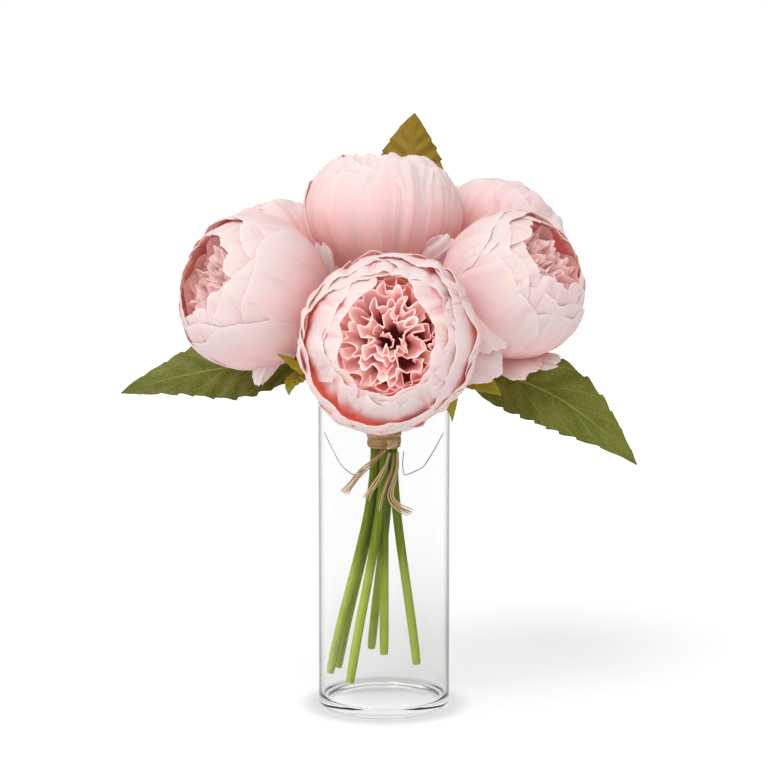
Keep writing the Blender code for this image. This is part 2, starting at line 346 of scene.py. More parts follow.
def petalLook():
    look, tree, shader = startLook("petalFabric")
    f = petalFabric
    names = ("along", "across", "inside", "tone", "ring", "fold", "crumple")
    along, across, inside, tone, ring, fold, crumple = (mark(tree, k) for k in names)
    where = objectSpot(tree)
    side = maths(tree, "ABSOLUTE", across)
    outer = ramp(tree, along, (0.0, 0.45, 0.72, 0.97), [f[k] for k in ("base", "low", "middle", "tip")])
    inner = ramp(tree, along, (0.35, 0.78, 1.0), [f[k] for k in ("insideDeep", "inside", "insideTip")])
    blotches = rampValue(tree, noise(tree, where, 38.0), 0.50, 0.78, 0.0, 0.30)
    # a pinker shade runs up the middle, in streaks that fan out from the base
    streaks = rampValue(tree, noise(tree, clothSpot(tree, 7.0, 0.9, 31.0), 1.0, 4.0, 0.6), 0.48, 0.72)
    streaks = times(tree, streaks, rampValue(tree, along, 1.0, 0.55, 0.1, 0.60))
    # a cream flush at the notch of some petals
    flush = times(tree, rampValue(tree, along, 0.86, 1.0), rampValue(tree, side, 0.30, 0.0))
    flush = times(tree, flush, rampValue(tree, tone, 0.66, 0.88, 0.0, 0.45))
    # the cut edge frays paler
    edge = maths(tree, "MAXIMUM", *(rampValue(tree, way, 0.972, 0.998) for way in (along, side)))
    # creases branch over the outsides of crumpled petals, with a painted warmer shade along their lines
    wander = times(tree, noise(tree, where, 60.0, 2.0), 0.5)
    turned = maths(tree, "ADD", times(tree, across, 1.9), wander)
    cells = cellEdges(tree, spot(tree, turned, times(tree, along, 2.9), times(tree, tone, 31.0)), 1.0)
    some = rampValue(tree, noise(tree, where, 45.0, 1.0), 0.48, 0.62)
    paintedCreaseShade = times(tree, rampValue(tree, cells, 0.028, 0.0), times(tree, some, crumple))
    paintedCreaseShade = times(tree, paintedCreaseShade, maths(tree, "SUBTRACT", 1.0, inside))
    colour = layered(tree, blendColour(tree, inside, outer, inner), f, (
        (blotches, "insideTip"),
        (streaks, "insideTip"),
        (flush, "cream"),
        # painted shade along creases and between the whorls
        (times(tree, fold, 0.90), "fold"),
        (times(tree, edge, 0.6), "cutEdge"),
        (rampValue(tree, ring, 0.0, 1.0, 0.0, 0.30), "inside"),   # inner whorls are a touch warmer, a painted warmth standing in for the shade between the layers
        (times(tree, paintedCreaseShade, 0.75), "fold"),
    ))
    # painted glow: emission on the inner faces and along the painted folds, standing in for light held in the
    # cup
    paintedGlow = times(tree, inside, rampValue(tree, along, 0.98, 0.62))
    paintedGlow = maths(tree, "MAXIMUM", paintedGlow, rampValue(tree, fold, 0.64, 0.80, 0.0, 0.75))
    # wrinkles pressed in from base to tip, and the facets between creases
    wrinkles = noise(tree, clothSpot(tree, 20.0, 1.6, 40.0), 1.0, 4.0, 0.55)
    facets = times(tree, rampValue(tree, cells, 0.0, 0.35), crumple)
    relief = bump(tree, facets, 0.35, 0.0020, bump(tree, wrinkles, 0.60, 0.0014))
    fill(tree, shader, {
        "Base Color": colour,
        "Roughness": f["roughness"],
        "Sheen Weight": f["sheen"],
        "Sheen Roughness": 0.4,
        "Specular IOR Level": 0.25,
        "Emission Color": blendColour(tree, paintedGlow, black, f["glow"]),
        "Emission Strength": 1.0,
        "Normal": weave(tree, relief),
    })
    shineThrough(tree, shader, blendColour(tree, 0.5, colour, f["through"]), f["letsLight"])
    look.cycles.emission_sampling = "NONE"
    return look


ruffleFabric = {
    # painted shade deep in the heart
    "hollow": (0.24, 0.025, 0.055),
    "deep": (0.78, 0.26, 0.24),
    "coral": (0.87, 0.55, 0.51),
    "salmon": (0.90, 0.74, 0.72),
    "tip": (0.98, 0.93, 0.92),
    "pale": (0.93, 0.80, 0.81),
    "through": (0.95, 0.70, 0.66),
    # painted glow and painted edge highlight: emission standing in for light
    "glow": (0.100, 0.062, 0.058),
    "paintedEdgeGlowTint": (0.24, 0.20, 0.195),
    "roughness": 0.7,
    "sheen": 0.15,
    "letsLight": 0.48,
}


def ruffleLook():
    look, tree, shader = startLook("ruffleFabric")
    f = ruffleFabric
    along, across, tone, ring, heart = (mark(tree, k) for k in ("along", "across", "tone", "ring", "fold"))
    tints = [f[k] for k in ("deep", "coral", "salmon", "tip")]
    warm, paler = (ramp(tree, along, stops, tints)
                   for stops in ((0.15, 0.50, 0.88, 1.0), (0.10, 0.36, 0.66, 1.0)))
    side = maths(tree, "ABSOLUTE", across)
    # paler edges: the cloth's pale cut edge, lifted further as a painted highlight
    sides = times(tree, rampValue(tree, side, 0.95, 0.99), rampValue(tree, along, 0.5, 0.8))
    edge = times(tree, maths(tree, "MAXIMUM", rampValue(tree, along, 0.88, 0.96), sides), 0.85)
    colour = layered(tree, blendColour(tree, tone, warm, paler), f, (
        (times(tree, ring, rampValue(tree, along, 0.25, 0.55)), "pale"),
        (times(tree, rampValue(tree, along, 0.44, 0.12), heart), "hollow"),   # painted burgundy shade deep in the heart
        (edge, "tip"),
    ))
    # painted glow on the upper faces and a brighter painted highlight along the edges
    paintedGlow = blendColour(tree, rampValue(tree, along, 0.20, 0.50), black, f["glow"])
    paintedGlow = blendColour(tree, edge, paintedGlow, f["paintedEdgeGlowTint"])
    relief = bump(tree, noise(tree, clothSpot(tree, 12.0, 1.5, 40.0), 1.0), 0.3, 0.0006)
    fill(tree, shader, {
        "Base Color": colour,
        "Roughness": f["roughness"],
        "Sheen Weight": f["sheen"],
        "Specular IOR Level": 0.25,
        "Emission Color": blendColour(tree, rampValue(tree, ring, 0.35, 1.0, 0.0, 0.9), paintedGlow, black),
        "Emission Strength": 1.0,
        "Normal": weave(tree, relief),
    })
    picked = blendColour(tree, rampValue(tree, along, 0.1, 0.6, 0.0, 0.5), colour, f["through"])
    shineThrough(tree, shader, picked, f["letsLight"])
    look.cycles.emission_sampling = "NONE"
    return look


# whorl: how many petals, how far round the globe their tips come, size, half width over radius
sideWhorls = [
    dict(count=5, tip=125, size=0.985, half=0.88),
    dict(count=5, tip=137, size=0.963, half=0.84),
    dict(count=7, tip=149, size=0.937, half=0.46, puff=2.4),
]
backWhorls = [
    dict(count=5, tip=106, size=0.985, half=0.86),
    dict(count=5, tip=126, size=0.963, half=0.84),
    dict(count=5, tip=146, size=0.937, half=0.70),
]
frontWhorls = [
    dict(count=5, tip=106, size=0.965, half=0.86),
    dict(count=5, tip=120, size=0.945, half=0.84),
    dict(count=6, tip=134, size=0.915, half=0.74),
    dict(count=5, tip=142, size=0.895, half=0.70),
]
topWhorls = [
    dict(count=5, tip=135, size=0.985, half=0.98),
    dict(count=5, tip=145, size=0.962, half=0.84),
    dict(count=7, tip=151, size=0.938, half=0.46, puff=2.0),
]
# what a head has unless its own line says otherwise
plainHead = dict(ruffleTop=0.86, creases=2, tipPlay=3.0, pale=0.3, rounding=22, wave=0.022, pleats=0.010,
                 ragged=2.4, crumple=0.4, blush=0.15, oval=0.0, gape=[])
# gape: where an outer whorl opens away from the next, as (turn, spread, how much, whorl)
heads = {
    "front": dict(centre=(0.003, -0.075, 0.234), axis=(-0.13, -0.96, 0.22), radius=0.0520, depth=0.036,
                  whorls=frontWhorls, turn=20, seed=11, ruffleTop=0.80, creases=6, tipPlay=5.0, pale=0.45,
                  rounding=15, wave=0.018, pleats=0.005, ragged=1.35, crumple=1.0, blush=0.60, oval=4.0,
                  gape=[(238, 42, 0.115, 1), (165, 22, 0.05, 1), (60, 26, 0.05, 1), (350, 30, 0.03, 0)]),
    "left": dict(centre=(-0.0780, -0.022, 0.2555), axis=(-0.78, -0.48, 0.40), radius=0.0463, depth=0.0450,
                 whorls=sideWhorls, turn=5, seed=23, pale=1.0, rounding=26, wave=0.007, pleats=0.003,
                 ragged=1.0, crumple=0.35, blush=0.12, gape=[(110, 50, 0.06, 1)]),
    "right": dict(centre=(0.077, -0.019, 0.260), axis=(0.66, -0.48, 0.57), radius=0.0440, depth=0.043,
                  whorls=sideWhorls, turn=50, seed=37, ruffleTop=0.84, creases=3, pale=0.85, rounding=24,
                  wave=0.009, pleats=0.003, ragged=1.2, crumple=0.45, gape=[(60, 50, 0.05, 1)]),
    "top": dict(centre=(-0.001, 0.022, 0.300), axis=(0.02, 0.12, 0.99), radius=0.0480, depth=0.0405,
                whorls=topWhorls, turn=36, seed=41, ruffleTop=0.76, creases=3, tipPlay=4.0, rounding=20,
                wave=0.018, pleats=0.017, crumple=0.35),
    "back_left": dict(centre=(-0.068, 0.074, 0.264), axis=(-0.55, 0.68, 0.48), radius=0.0415, depth=0.037,
                      whorls=backWhorls, turn=0, seed=53),
    "back_right": dict(centre=(0.073, 0.069, 0.277), axis=(0.52, 0.68, 0.52), radius=0.0435, depth=0.038,
                       whorls=backWhorls, turn=30, seed=67),
}
heads = {node: {**plainHead, **head} for node, head in heads.items()}
petalShape = {
    "thickness": 0.00036,
    "rows": 36,
    "columns": 65,
    "base": 13.0,        # degrees from the receptacle
    "lap": 0.010,        # each petal's one side over its neighbour, as a share of the radius
    "bulge": 0.014,
    "flare": 0.010,
}


def inHead(head, r, phi, z, aside=(0.0, 0.0)):
    # points about a head's own axis, given as shares of its radius and depth
    x, y = r * np.cos(phi) + aside[0], r * np.sin(phi) + aside[1]
    points = np.stack(np.broadcast_arrays(head["radius"] * x, head["radius"] * y, head["depth"] * z), -1)
    turned = np.array(Vector(head["axis"]).to_track_quat("Z", "Y").to_matrix())
    return points @ turned.T + np.array(head["centre"])


def onGlobe(head, theta, phi, k):
    return inHead(head, k * np.sin(theta), phi, -k * np.cos(theta))


def headSheet(head, points, along, across, **marks):
    return dict(points=points, heart=np.array(head["centre"]), along=along, across=across, **marks)


def softRelief(head, theta, phi):
    # broad swells shared by a head's whorls, so that they stay nested
    draw = np.random.default_rng(head["seed"] + 7).uniform
    total = 0.0
    for turns, amount in ((2, 0.010), (3, 0.010), (5, 0.010), (8, 0.008), (13, 0.004)):
        swell = np.sin(turns * phi + draw(0, 6)) * np.sin(draw(1.5, 3.0) * theta + draw(0, 6))
        total = total + amount * swell
    return total * np.sin(theta)


def turnOff(turn, at):
    return (np.degrees(turn) - at + 180) % 360 - 180


def gapeAt(head, level, turn):
    total = 0.0
    for at, spread, amount, whorl in head["gape"]:
        if level <= whorl:
            total = total + amount * bell(turnOff(turn, at) / spread) * (1.0 if level == whorl else 0.55)
    return total


def globePetal(head, level, turn, tip, half, rng):
    # one broad petal lying on the head's globe
    p, w, draw = petalShape, head["whorls"][level], rng.uniform
    wave = head["wave"]
    u, v = grid(p["rows"], p["columns"])
    u = u ** 0.88
    dip, dipAt = draw(1.0, 5.0), draw(-0.3, 0.3)
    beats = (3, 5, 8, 13, 21)
    fray = head["ragged"] * sum(draw(-0.32, 0.32) * np.sin(k * v * 3.1 + draw(0, 6)) for k in beats)
    reach = tip - head["rounding"] * np.abs(v) ** 2.4 - dip * bell((v - dipAt) / 0.13)
    reach = reach + draw(0.8, 2.0) * np.cos(v * 6.0 + draw(0, 6)) + fray
    theta = np.radians(p["base"] + (reach - p["base"]) * u)
    width = 0.30 + 0.70 * np.sin(0.5 * math.pi * np.clip(u / 0.66, 0, 1)) ** 1.1
    phi = math.radians(turn) + half * width * v / (w["size"] * np.maximum(np.sin(theta), 0.20))
    phi = phi + 0.05 * draw(-1, 1) * u ** 2
    crown = (1 - v ** 2) * np.sin(math.pi * u ** 0.85) ** 0.8
    lift = p["lap"] * v * smooth(0.0, 0.4, u) + softRelief(head, theta, phi)
    lift = lift + p["bulge"] * w.get("puff", 1.0) * crown
    lift = lift + p["flare"] * draw(0.2, 1.4) * u ** 7
    # fine pleats gathered towards the tip
    for beats, share in ((17, 0.45), (29, 0.33), (41, 0.22)):
        pleat = np.sin(beats * v * (0.75 + 0.25 * u) + draw(0, 6))
        lift = lift + head["pleats"] * share * pleat * smooth(0.10, 0.55, u)
    lift = lift + gapeAt(head, level, phi) * smooth(0.15, 1.0, u) ** 1.3
    lift = lift + wave * u ** 3 * np.sin(draw(2.2, 3.6) * math.pi * v + draw(0, 6))
    for share, start, slow, fast in ((0.6, 0.75, 7, 10), (0.35, 0.82, 15, 22)):
        lift = lift + share * wave * smooth(start, 1.0, u) * np.sin(draw(slow, fast) * v + draw(0, 6))
    # soft pressed folds fan out from the base
    for _ in range(int(rng.integers(2, 5))):
        at, wide, deep, stop = draw(-0.8, 0.8), draw(0.05, 0.13), draw(0.005, 0.012), draw(0.7, 1.2)
        valley = bell((v - at * (0.65 + 0.35 * u)) / wide)
        lift = lift - deep * valley * (1 - smooth(stop - 0.45, stop, u)) * smooth(0.05, 0.35, u)
    # creases run aslant near the tip, each a sharp valley with a soft ridge beside it
    # the fold mark says where coral shade is painted along each crease valley
    fold = np.zeros_like(theta)
    for _ in range(int(rng.integers(head["creases"] // 2, head["creases"] + 1))):
        at, slope = draw(-0.8, 0.8), draw(-1.3, 1.3)
        wide, deep = draw(0.035, 0.070), draw(0.012, 0.020) * (0.7 + 0.6 * head["crumple"])
        line = (v - at - slope * (u - 0.8) - 0.8 * (u - 0.8) ** 2) / wide
        fades = smooth(0.45, 0.70, u) * (1 - 0.6 * smooth(0.9, 1.0, u))
        lift = lift + deep * fades * (0.7 * np.exp(-(line - 2.2) ** 2 / 2) - bell(line, 1))
        fold = np.maximum(fold, 0.55 * head["crumple"] ** 2 * bell(line / 0.40) * fades)
    # painted coral shade where the whorl outside stands away
    for at, spread, amount, whorl in head["gape"]:
        if level == whorl + 1:
            shown = 1 - smooth(0.795, 0.835, u + 0.010 * np.sin(9 * v))
            fold = np.maximum(fold, min(1.0, 9 * amount) * bell(turnOff(phi, at) / spread, 4) * shown)
    # painted warm shade low on the inner whorls, where the outer ones cover them
    if level:
        fold = np.maximum(fold, head["blush"] * (1 - smooth(0.76, 0.92, u)))
    return headSheet(head, onGlobe(head, theta, phi, w["size"] + lift), u, v, fold=fold, tone=draw(0, 1),
                     ring=0.08 * level, crumple=head["crumple"] * draw(0.5, 1.0))


def makeOuterPetals(name, node, look):
    head = heads[node]
    rng = np.random.default_rng(head["seed"])
    draw = rng.uniform
    sheets = []
    for level, w in enumerate(head["whorls"]):
        for n in range(w["count"]):
            turn = head["turn"] + 360 * n / w["count"] + 36 * (level % 2) + 11 * level + draw(-7, 7)
            oval = math.cos(2 * math.radians(turn)) - 0.3 * math.sin(math.radians(turn))
            tip = w["tip"] + draw(-1, 1) * head["tipPlay"] + head["oval"] * oval
            sheets.append(globePetal(head, level, turn, tip, w["half"] * draw(0.95, 1.06), rng))
    piece = clothPiece(name + "OuterPetals", sheets, petalShape["thickness"])
    finishPiece(piece, look, "petal_pink", *(f"{node}_petal_{n}" for n in range(1, 6)))


# inner cups: upright petals just inside the mouth, coral within
innerCups = {
    "counts": (4, 5),
    "radii": (0.64, 0.57),
    "tops": (0.62, 0.58),
    "floor": -0.30,
    "half": 46,             # degrees to each side
    "thickness": 0.00034,
}


def makeInnerCups(name, node, look):
    head, c = heads[node], innerCups
    draw = np.random.default_rng(head["seed"] + 100).uniform
    u, v = grid(22, 37)
    sheets = []
    for level, (count, radius, top) in enumerate(zip(c["counts"], c["radii"], c["tops"])):
        for n in range(count):
            middle = math.radians(head["turn"] + 360 * n / count + 36 * level + draw(-12, 12))
            phi = middle + math.radians(c["half"]) * v * (0.55 + 0.45 * smooth(0, 0.6, u))
            r = radius - 0.12 * (1 - u) ** 2 + 0.02 * v
            r = r + 0.03 * u ** 2 * np.sin(draw(5, 8) * v + draw(0, 6)) + 0.02 * u ** 4
            crest = top * head["ruffleTop"] / 0.8 + draw(-0.14, 0.02) - 0.16 * np.abs(v) ** 2.5
            crest = crest + 0.04 * np.cos(7 * v + draw(0, 6))
            points = inHead(head, r, phi, c["floor"] + (crest - c["floor"]) * u)
            sheets.append(headSheet(head, points, 0.35 + 0.65 * u, v,
                                    tone=draw(0, 0.4), ring=0.8, crumple=0.3))
    finishPiece(clothPiece(name + "InnerCups", sheets, c["thickness"]), look, "petal_pink")


# ruffles: small folded petals standing in rings, with dark hollows between; each ring's heart is its share of
# painted hollow shade
ruffleShape = {"thickness": 0.00032, "floor": -0.28}
ruffleRings = [
    dict(radius=0.57, count=6, top=0.64, arc=36, wave=0.050, waves=2.5, lean=0.14, heart=0.05),
    dict(radius=0.47, count=6, top=0.71, arc=40, wave=0.068, waves=2.7, lean=0.17, heart=0.12),
    dict(radius=0.35, count=5, top=0.76, arc=46, wave=0.078, waves=2.5, lean=0.17, heart=0.15),
    dict(radius=0.23, count=4, top=0.77, arc=56, wave=0.075, waves=2.1, lean=0.12, heart=0.55),
    dict(radius=0.10, count=2, top=0.68, arc=80, wave=0.050, waves=1.4, lean=0.04, heart=1.0),
]


def ruffle(head, w, n, aside, draw):
    u, v = grid(20, 73)
    floor, pale = ruffleShape["floor"], head["pale"]
    middle = 2 * math.pi * (n + draw(-0.22, 0.22)) / w["count"] + w["radius"] * 9
    arc = math.radians(w["arc"] * draw(0.85, 1.2))
    waves = w["waves"] * draw(0.8, 1.25)
    start, second, third = draw(0, 6, 3)
    beat = waves * math.pi * v + start + 0.9 * np.sin(2.1 * v + second) + 0.35 * np.sin(5.3 * v + third)
    grow = 0.12 + 0.88 * u ** 1.4
    swing = w["wave"] * draw(0.7, 1.35) * (1 - 0.35 * np.abs(v) ** 3)
    fold = draw(0.25, 0.58) / (waves * math.pi)
    phi = middle + arc * (v - fold * np.sin(2 * beat) * grow)
    r = w["radius"] + draw(-0.03, 0.03) - w["lean"] * (1 - u) ** 1.3
    r = r + swing * grow * (np.sin(beat) + 0.30 * np.sin(2.3 * beat + third))
    # some tips roll out to show their faces, some turn in
    r = r + draw(-0.05, 0.07) * u ** 3 + 0.045 * smooth(0.6, 1.0, u) * np.cos(beat * 0.5 + third)
    r = np.maximum(r + 0.009 * u ** 3 * np.sin(23 * v + third), 0.012)
    top = w["top"] * head["ruffleTop"] + draw(-0.13, 0.05)
    crest = top - 0.18 * np.abs(v) ** 2.4 + 0.06 * np.cos(beat + second)
    crest = crest + 0.030 * np.sin(2.7 * beat + third) + 0.012 * np.sin(19 * v + third)
    points = inHead(head, r, phi, floor + (crest - floor) * u, aside)
    # the fold mark carries the ring's painted hollow shade
    return headSheet(head, points, u, v, tone=draw(0, 1), ring=pale, fold=w["heart"] * (1 - 0.5 * pale))


def makeRuffles(name, node, look):
    head = heads[node]
    draw = np.random.default_rng(head["seed"] + 200).uniform
    sheets = []
    for w in ruffleRings:
        aside = draw(-0.05, 0.05, 2)
        sheets += [ruffle(head, w, n, aside, draw) for n in range(w["count"])]
    # the dished floor that closes the heart, painted dark burgundy as shade
    u, v = grid(14, 49)
    r = 0.002 + 0.56 * u + 0.03 * np.sin(5 * math.pi * v) * u
    z = -0.30 + 0.10 * u ** 2 + 0.03 * np.cos(4 * math.pi * v) * u
    sheets.append(headSheet(head, inHead(head, r, math.pi * v, z), 0.12 + 0.1 * u, 0.0, fold=0.8))
    piece = clothPiece(name + "Ruffles", sheets, ruffleShape["thickness"])
    finishPiece(piece, look, "ruffle_coral", node + "_core")


# loose petals that hang or stand away from the heads; lines here and below are in millimetres
loosePetals = [
    dict(line=[(-54.5, -30, 224.5), (-64, -42, 224), (-72, -45, 213), (-73.5, -42, 203)],
         half=0.0062, face=(0.30, -0.90, 0.30), cup=0.50, seed=301),     # hangs under the left head
    dict(line=[(40, -50, 244), (52, -56, 246), (64, -56, 238), (65, -53, 224)],
         half=0.0180, face=(0.35, -0.93, 0.10), cup=0.25, seed=302),     # right of the front head
    dict(line=[(40, -48, 225), (50, -54, 223), (60, -56, 218), (64, -54, 208)],
         half=0.0140, face=(0.35, -0.93, 0.0), cup=0.20, seed=303),
    dict(line=[(70, -12, 217), (76, -26, 216), (83, -36, 214), (88, -40, 210)],
         half=0.0120, face=(0.1, -0.75, 0.65), cup=0.15, seed=304),      # under the right head
    dict(line=[(82, -10, 217), (90, -22, 217), (98, -28, 216.5), (104, -30, 215)],
         half=0.0080, face=(0.2, -0.75, 0.65), cup=0.15, seed=305),
    dict(line=[(16, -4, 270), (26, -12, 273), (35, -16, 279), (41.5, -16, 288)],
         half=0.0095, face=(0.45, -0.85, 0.15), cup=0.30, seed=306),     # beside the top head
    dict(line=[(-40, -14, 250), (-34.5, -20, 260), (-33, -21, 272), (-38.5, -18, 286)],
         half=0.0080, face=(0.55, -0.82, 0.0), cup=0.30, seed=307),
]


def makeLoosePetals(look):
    sheets = []
    for petal in loosePetals:
        draw = np.random.default_rng(petal["seed"]).uniform
        rows = 30
        u, v = grid(rows, 31)
        middle = bezierThrough(metres(petal["line"]), rows)
        ahead = unit(np.gradient(middle, axis=0))
        across = unit(np.cross(ahead, petal["face"]))
        up = np.cross(across, ahead)
        half = petal["half"]
        span = half * (0.30 + 0.70 * np.sin(0.5 * math.pi * np.clip(u / 0.6, 0, 1)))
        # the tip is round, notched and frayed
        pull = 0.30 * np.abs(v) ** 2.6 + draw(0.03, 0.10) * bell((v - draw(-0.3, 0.3)) / 0.15)
        pull = pull + sum(draw(-0.015, 0.015) * np.sin(k * v + draw(0, 6)) for k in (9, 17, 29, 43))
        where = np.clip(u * (1 - pull), 0, 1) * (rows - 1)
        low = np.minimum(where.astype(int), rows - 2)
        part = (where - low)[..., None]
        middleAt, acrossAt, upAt = (way[low] * (1 - part) + way[low + 1] * part
                                    for way in (middle, across, up))
        rise = -petal["cup"] * np.abs(v) ** 1.8 + 0.10 * u ** 2 * np.sin(5 * v + draw(0, 6))
        rise = half * (rise + 0.05 * np.sin(11 * v + draw(0, 6)) * u)
        points = middleAt + unit(acrossAt) * (span * v)[..., None] + unit(upAt) * rise[..., None]
        heart = middle.mean(0) - np.array(petal["face"]) * 10
        sheets.append(dict(points=points, heart=heart, along=0.62 + 0.38 * u, across=v,
                           tone=draw(0, 0.5), crumple=0.8))
    finishPiece(clothPiece("loosePetals", sheets, petalShape["thickness"]), look, "petal_pink")


# moulded stems
stemShape = {
    "radius": 0.0027,
    "bundle": 0.0058,
    "tieLow": 0.160,
    "tieHigh": 0.172,
    "ribs": 7,
    "ribDepth": 0.05,
    "flare": 2.3,
}
stemPlaces = {   # where each stands in the tie (degrees, None for the middle) and its cut foot
    "front": (-90, (-20.4, -18, 17.5)),
    "left": (198, (-33.3, 0, 19)),
    "right": (-18, (20, 0, 24.5)),
    "top": (None, (0, -4, 31.6)),
    "back_left": (126, (-28.8, 10, 20)),
    "back_right": (54, (-8, 25, 28.3)),
}
stemGreens = {
    "low": (0.330, 0.395, 0.055),
    "high": (0.130, 0.195, 0.001),
    "streak": (0.36, 0.40, 0.06),
    "mottle": (0.22, 0.20, 0.03),
    "change": (0.078, 0.100),         # heights between which the green turns
}


def ringFaces(starts, sides):
    # quads between one ring of points and the next
    ways = [(s, (s + 1) % sides) for s in range(sides)]
    return [(a + s, a + t, b + t, b + s) for a, b in zip(starts, starts[1:]) for s, t in ways]


def tubeMesh(name, route, radii, sides, tone=0.0, ribs=0, ribDepth=0.0):
    ahead = unit(np.gradient(route, axis=0))
    side = unit(np.cross(ahead[0], [0.31, 0.95, 0.05]))
    phase = np.linspace(0, 2 * math.pi, sides, endpoint=False)
    verts = []
    for k, point in enumerate(route):
        side = unit(side - ahead[k] * np.dot(side, ahead[k]))
        other = np.cross(ahead[k], side)
        r = radii[k] * (1 + ribDepth * np.cos(ribs * phase + 0.02 * k))
        verts.append(point + r[:, None] * (np.cos(phase)[:, None] * side + np.sin(phase)[:, None] * other))
    count = len(route) * sides
    faces = ringFaces(range(0, count, sides), sides)
    faces += [tuple(range(sides - 1, -1, -1)), tuple(range(count - sides, count))]
    along = np.repeat(np.linspace(0, 1, len(route)), sides)
    marks = {"along": along, "across": 0 * along, "tone": tone + 0 * along}
    return meshFrom(name, np.vstack(verts), faces, marks, 40)


def stemLook():
    look, tree, shader = startLook("stemPlastic")
    where = objectSpot(tree)
    # paler towards the cut feet
    green = blendColour(tree, rampValue(tree, heightOf(tree), *stemGreens["change"]),
                        stemGreens["low"], stemGreens["high"])
    long = tree.nodes.new("ShaderNodeMapping")
    long.inputs["Scale"].default_value = (420.0, 420.0, 12.0)
    tree.links.new(where, long.inputs["Vector"])
    grain = noise(tree, long.outputs[0], 1.0)
    mottle = noise(tree, where, 70.0, 2.0)
    green = layered(tree, green, stemGreens, (
        (rampValue(tree, grain, 0.45, 0.75, 0.0, 0.45), "streak"),
        (rampValue(tree, mottle, 0.5, 0.75, 0.0, 0.30), "mottle"),
    ))
    fill(tree, shader, {"Base Color": green, "Roughness": 0.48, "Specular IOR Level": 0.12,
                        "Normal": bump(tree, grain, 0.35, 0.0004)})
    return look


def makeStem(name, node, look):
    p, head = stemShape, heads[node]
    turn, foot = stemPlaces[node]
    foot = metres(foot)
    stand = np.zeros(3) if turn is None else spun(p["bundle"], math.radians(turn), 0.0)
    axis = unit(np.array(head["axis"]))
    top = np.array(head["centre"]) - axis * (head["depth"] + 0.0006)
    low, high = stand + [0, 0, p["tieLow"]], stand + [0, 0, p["tieHigh"]]
    below = bezierThrough([foot, foot * 0.6 + low * 0.4, low - [0, 0, 0.045], low], 34)
    above = bezierThrough([high, high + [0, 0, 0.024], top - axis * 0.030, top], 34)
    route = np.vstack([below, above])
    radii = np.full(len(route), p["radius"])
    radii[:3] *= (0.86, 0.95, 0.99)      # the foot is a little rounded
    radii[-9:] *= np.linspace(1, p["flare"], 9) ** 1.2
    piece = tubeMesh(name + "Stem", route, radii, 28, 0.0, p["ribs"], p["ribDepth"])
    finishPiece(piece, look, "stem_green", "stem_" + node)


# sepals under each head
sepalShape = {"count": 5, "reach": (22, 36), "half": 0.16, "thickness": 0.0005}


def makeCalyx(name, node, look):
    head, s = heads[node], sepalShape
    draw = np.random.default_rng(head["seed"] + 300).uniform
    u, v = grid(16, 11)
    sheets = []
    for n in range(s["count"]):
        turn = math.radians(head["turn"] + 72 * n + draw(-12, 12))
        theta = np.radians(5 + draw(*s["reach"]) * u)
        half = s["half"] * np.sin(math.pi * np.clip(u * 0.93 + 0.07, 0, 1) ** 0.9) ** 0.8
        phi = turn + half * v / np.maximum(np.sin(theta), 0.14)
        k = 1.035 + 0.012 * v ** 2 + draw(0.0, 0.07) * u ** 2
        sheets.append(headSheet(head, onGlobe(head, theta, phi, k), u, v, tone=draw(0, 1)))
    finishPiece(clothPiece(name + "Sepals", sheets, s["thickness"]), look, "leaf_green")


# leaves: the line runs from root over knee to tip
leafShape = {
    "thickness": 0.00045,
    "rows": 120,
    "columns": 31,
    "teeth": 10,
    "toothDepth": 0.095,
    "stalk": 0.0011,
}
leaves = {
    "leaf_left": dict(line=[(-16.5, 7.5, 203), (-75, 34, 216), (-160, 10, 191)],
                      petiole=0.22, half=0.0250, face=(-0.15, -0.72, 0.68), tone=0.12, seed=1),
    "leaf_right": dict(line=[(17.2, -2.2, 198.5), (85, 4, 224), (152, -14, 151)],
                       petiole=0.22, half=0.0250, face=(0.30, -0.85, 0.45), tone=0.25, seed=2),
    "leaf_top": dict(line=[(4, 14, 215), (14, 105, 290), (19, 62, 358.5)],
                     petiole=0.45, half=0.0235, face=(0.10, 0.95, 0.20), tone=0.58, seed=3),
    "leaf_between": dict(line=[(-12, -8, 201), (-38, -40, 203), (-62, -57, 224)],
                         petiole=0.30, half=0.009, face=(0.0, -0.50, 0.87), tone=0.85, seed=4),
    "leaf_left_low": dict(line=[(-16, -1, 198), (-54, -14, 216), (-56.5, -26, 195)],
                          petiole=0.30, half=0.010, face=(-0.70, -0.60, 0.40), tone=0.80, seed=5),
    "leaf_right_low": dict(line=[(13, -8.5, 203), (40, -28, 219), (69, -36, 196.5)],
                           petiole=0.30, half=0.012, face=(0.20, -0.75, 0.62), tone=0.70, seed=6),
    "leaf_front_low": dict(line=[(10, -14, 203), (38, -40, 225), (40, -50, 183)],
                           petiole=0.30, half=0.009, face=(0.65, -0.70, 0.30), tone=0.65, seed=7),
    "leaf_back_left": dict(line=[(-8, 14, 205), (-20, 75, 222), (-36, 130, 190)],
                           petiole=0.22, half=0.020, face=(-0.10, 0.35, 0.93), tone=0.20, seed=8),
    "leaf_back_right": dict(line=[(8, 14, 205), (30, 70, 222), (64, 122, 198)],
                            petiole=0.22, half=0.019, face=(0.15, 0.35, 0.92), tone=0.25, seed=9),
}
leafGreens = {
    "shades": [(0.100, 0.108, 0.016), (0.112, 0.134, 0.007), (0.35, 0.29, 0.012), (0.56, 0.53, 0.010)],
    "light": (0.205, 0.210, 0.034),
    "vein": (0.33, 0.33, 0.075),
    "under": (0.36, 0.25, 0.03),
    "underVein": (0.46, 0.38, 0.14),
    "edge": (0.045, 0.055, 0.008),
}


